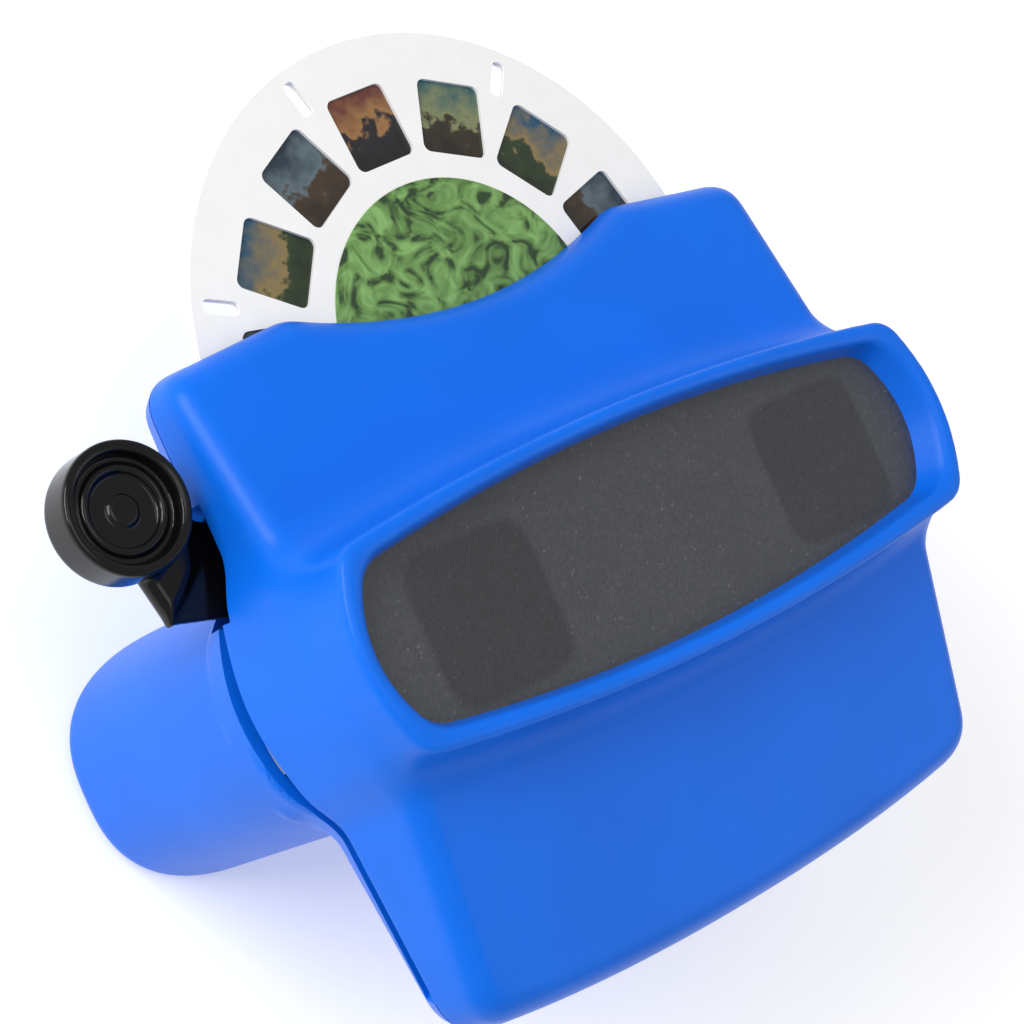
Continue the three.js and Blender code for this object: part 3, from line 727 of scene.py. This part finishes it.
class VIEWER_OT_lever(bpy.types.Operator):
    """Advance lever with its dished pad, and the claw on it"""

    bl_idname = "viewer.lever"
    bl_label = "Lever"

    def execute(self, context):
        piece = skin("lever_moulding", lever_form, (-75, -28, SEAM - 6.5), (-34, 39, SEAM + 7.5), 0.3)
        finish_piece(piece, material("black_plastic"), "lever", "black_plastic", "advance_lever",
                     angle=60)
        paint("advance_claw", material("steel"))
        return {"FINISHED"}


class VIEWER_OT_optics(bpy.types.Operator):
    """Lenses, their rings, the frosted pane and the dark parts inside"""

    bl_idname = "viewer.optics"
    bl_label = "Optics"

    def execute(self, context):
        for side, name in ((-1, "left"), (1, "right")):
            shares = np.linspace(0, 1, 13)
            below = [(LENS_RADIUS * s, 6.0 - 1.6 * (1 - s * s)) for s in shares]
            above = [(LENS_RADIUS * s, 8.2 + 1.6 * (1 - s * s)) for s in shares[::-1]]
            lens = turned(f"{name}_eye_lens", below + above, side * OPTIC_X, 0)
            finish_piece(lens, material("lens_plastic"), "case", "lens", f"{name}_lens")
            ring = [(10.3, 9.15), (12.3, 8.55), (13.1, 8.55), (13.3, 8.75), (13.3, 9.75), (13.1, 9.95),
                    (10.5, 9.95), (10.3, 9.75), (10.3, 9.15)]
            ring = turned(f"{name}_retaining_ring", ring, side * OPTIC_X, 0)
            finish_piece(ring, material("dark_plastic"), "case", "dark_plastic", f"{name}_lens_ring")
        paint("diffuser_pane", material("frosted_pane"))
        for node in ("light_baffle", "front_gate_plate", "rear_gate_plate"):
            paint(node, material("dark_plastic"))
        paint("return_spring", material("steel"))
        return {"FINISHED"}


class VIEWER_OT_screws(bpy.types.Operator):
    """The four screws, with crossed recesses"""

    bl_idname = "viewer.screws"
    bl_label = "Screws"

    def execute(self, context):
        low = HEAD_TOP - 1.5
        profile = [(0, low), (1.7, low + 0.05), (2.2, low + 0.35), (2.4, low + 0.8),
                   (2.4, HEAD_TOP - 0.05), (1.25, HEAD_TOP - 0.05), (1.25, SEAM + 4.6), (0, SEAM + 5.2)]
        screw = turned("screw", profile, 0, 0, 48)
        cut(screw, [block("bar", -1.35, 1.35, -0.3, 0.3, low - 1, low + 0.8),
                    block("bar", -0.3, 0.3, -1.35, 1.35, low - 1, low + 0.8)])
        points = [(x, y, 0) for x, y in SCREWS]
        made = copies("case_screws", at_origin(screw), points, (0, 0, 0), material("steel"))
        nodes = [f"case_screw_{i + 1}" for i in range(len(SCREWS))]
        finish_piece(made, material("steel"), "case", "steel", *nodes)
        return {"FINISHED"}


class VIEWER_OT_reel(bpy.types.Operator):
    """Picture reel: two cards, fourteen pictures and the labels"""

    bl_idname = "viewer.reel"
    bl_label = "Reel"

    def ring(self, count, radius, wide, tall, corner, first, low, high):
        """Cutters on a circle round the reel's centre."""
        w, t = wide / 2 - corner, tall / 2 - corner
        arcs = [(t, w, 0), (-t, w, 90), (-t, -w, 180), (t, -w, 270)]
        turns = [(x, y, math.radians(a + b)) for x, y, a in arcs for b in range(0, 91, 15)]
        outline = [(x + corner * math.cos(a), y + corner * math.sin(a)) for x, y, a in turns]
        cutter = at_origin(prism("cutter", outline, low, high))
        angles = [math.radians(first - 360 / count * i) for i in range(count)]
        points = [(radius * math.cos(a), REEL_LIFT + radius * math.sin(a), 0)
                  for a in angles]
        return copies("cutters", cutter, points, (0, REEL_LIFT, 0))

    def execute(self, context):
        for name, low in (("front", SEAM + 0.13), ("back", SEAM - 0.63)):
            high = low + 0.5
            soft = 0.12
            disc = [(0, low), (REEL_RADIUS - soft, low), (REEL_RADIUS, low + soft),
                    (REEL_RADIUS, high - soft), (REEL_RADIUS - soft, high), (0, high)]
            piece = turned(f"{name}_card", disc, 0, REEL_LIFT, 256)
            cut(piece, [self.ring(FRAMES, OPTIC_X, 10.4, 11, 1.2, FIRST_FRAME, low - 1, high + 1),
                        self.ring(FRAMES // 2, 40, 2.1, 5.4, 0.8, FIRST_FRAME + 180 / FRAMES,
                                  low - 1, high + 1)])
            finish_piece(piece, material("card"), "reel", "card", f"reel_{name}_card")
        for name, node, body, low in (("front_print", "reel_label", "reel", SEAM + 0.66),
                                      ("back_print", "reel_back_label", "reel_carrier", SEAM - 0.78)):
            high = low + 0.12
            disc = [(0, low), (LABEL_RADIUS, low), (LABEL_RADIUS, high), (0, high)]
            piece = turned(name, disc, 0, REEL_LIFT, 128)
            finish_piece(piece, material("label_paper"), body, "label_paper", node)
        for i in range(FRAMES):
            node = f"film_{i + 1:02d}"
            low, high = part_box(node)
            paint(node, film_picture(i, (low + high) / 2))
        return {"FINISHED"}


class VIEWER_OT_stage(bpy.types.Operator):
    """Pale floor, soft lights and the camera"""

    bl_idname = "viewer.stage"
    bl_label = "Stage"

    def soft_light(self, name, direction, distance, size, power):
        data = bpy.data.lights.new(name, "AREA")
        data.shape = "RECTANGLE"
        data.size, data.size_y = size
        data.energy = power
        made = bpy.data.objects.new(name, data)
        away = Vector(direction).normalized()
        middle = CENTRE + Vector((0, 0, SEAM * MM))
        made.location = middle + away * distance
        made.rotation_euler = away.to_track_quat("Z", "Y").to_euler()
        bpy.context.scene.collection.objects.link(made)

    def execute(self, context):
        bpy.ops.mesh.primitive_plane_add(size=14, location=(0, 0, 0))
        floor = context.object
        floor.name = "floor"
        made = Finish("floor", (0.95, 0.95, 0.95), 0.8,
                      Emission_Color=(1, 1, 1, 1), Emission_Strength=0.28)
        floor.data.materials.append(made.material)
        context.scene.view_settings.view_transform = "Standard"
        world = bpy.data.worlds.new("studio")
        world.use_nodes = True
        world.node_tree.nodes["Background"].inputs[0].default_value = (1, 1, 1, 1)
        world.node_tree.nodes["Background"].inputs[1].default_value = 0.5
        context.scene.world = world
        self.soft_light("key", (-0.75, 0.55, 0.62), 0.8, (0.5, 0.35), 4.2)
        self.soft_light("fill", (0.7, -0.5, 0.7), 1.0, (0.6, 0.6), 0.9)
        self.soft_light("top", (-0.1, 0.1, 1), 1.0, (0.5, 0.5), 1.4)
        right = Vector((0.72771, -0.40659, 0.55238)).normalized()
        down = Vector((-0.31464, -0.9135, -0.2579))
        down = (down - right * down.dot(right)).normalized()
        forward = right.cross(down)
        turn = Matrix((right, -down, -forward)).transposed().to_4x4()
        data = bpy.data.cameras.new("camera")
        data.sensor_width = 36
        data.lens = 93.67
        camera = bpy.data.objects.new("camera", data)
        camera.matrix_world = Matrix.Translation(place((-230.08, 5.758, SEAM + 290.52))) @ turn
        context.scene.collection.objects.link(camera)
        context.scene.camera = camera
        return {"FINISHED"}


PIECES = (VIEWER_OT_front, VIEWER_OT_rear, VIEWER_OT_lever, VIEWER_OT_optics, VIEWER_OT_screws,
          VIEWER_OT_reel, VIEWER_OT_stage)


class VIEWER_PT_panel(bpy.types.Panel):
    """Lists the pieces"""

    bl_label = "Stereo Viewer"
    bl_space_type = "VIEW_3D"
    bl_region_type = "UI"
    bl_category = "Stereo Viewer"

    def draw(self, context):
        for key in ("edge", "fillet", "lip", "shell_colour", "lever_colour", "label_colour"):
            self.layout.prop(context.scene.viewer_look, key)
        for piece in PIECES:
            self.layout.operator(piece.bl_idname)


CLASSES = (ViewerLook, *PIECES, VIEWER_PT_panel)


def register():
    for made in CLASSES:
        bpy.utils.register_class(made)
    bpy.types.Scene.viewer_look = bpy.props.PointerProperty(type=ViewerLook)


def unregister():
    del bpy.types.Scene.viewer_look
    for made in reversed(CLASSES):
        bpy.utils.unregister_class(made)


def main():
    """Builds every piece."""
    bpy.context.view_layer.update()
    register()
    bpy.ops.viewer.front()
    bpy.ops.viewer.rear()
    bpy.ops.viewer.lever()
    bpy.ops.viewer.optics()
    bpy.ops.viewer.screws()
    bpy.ops.viewer.reel()
    bpy.ops.viewer.stage()


if __name__ == "__main__":
    main()
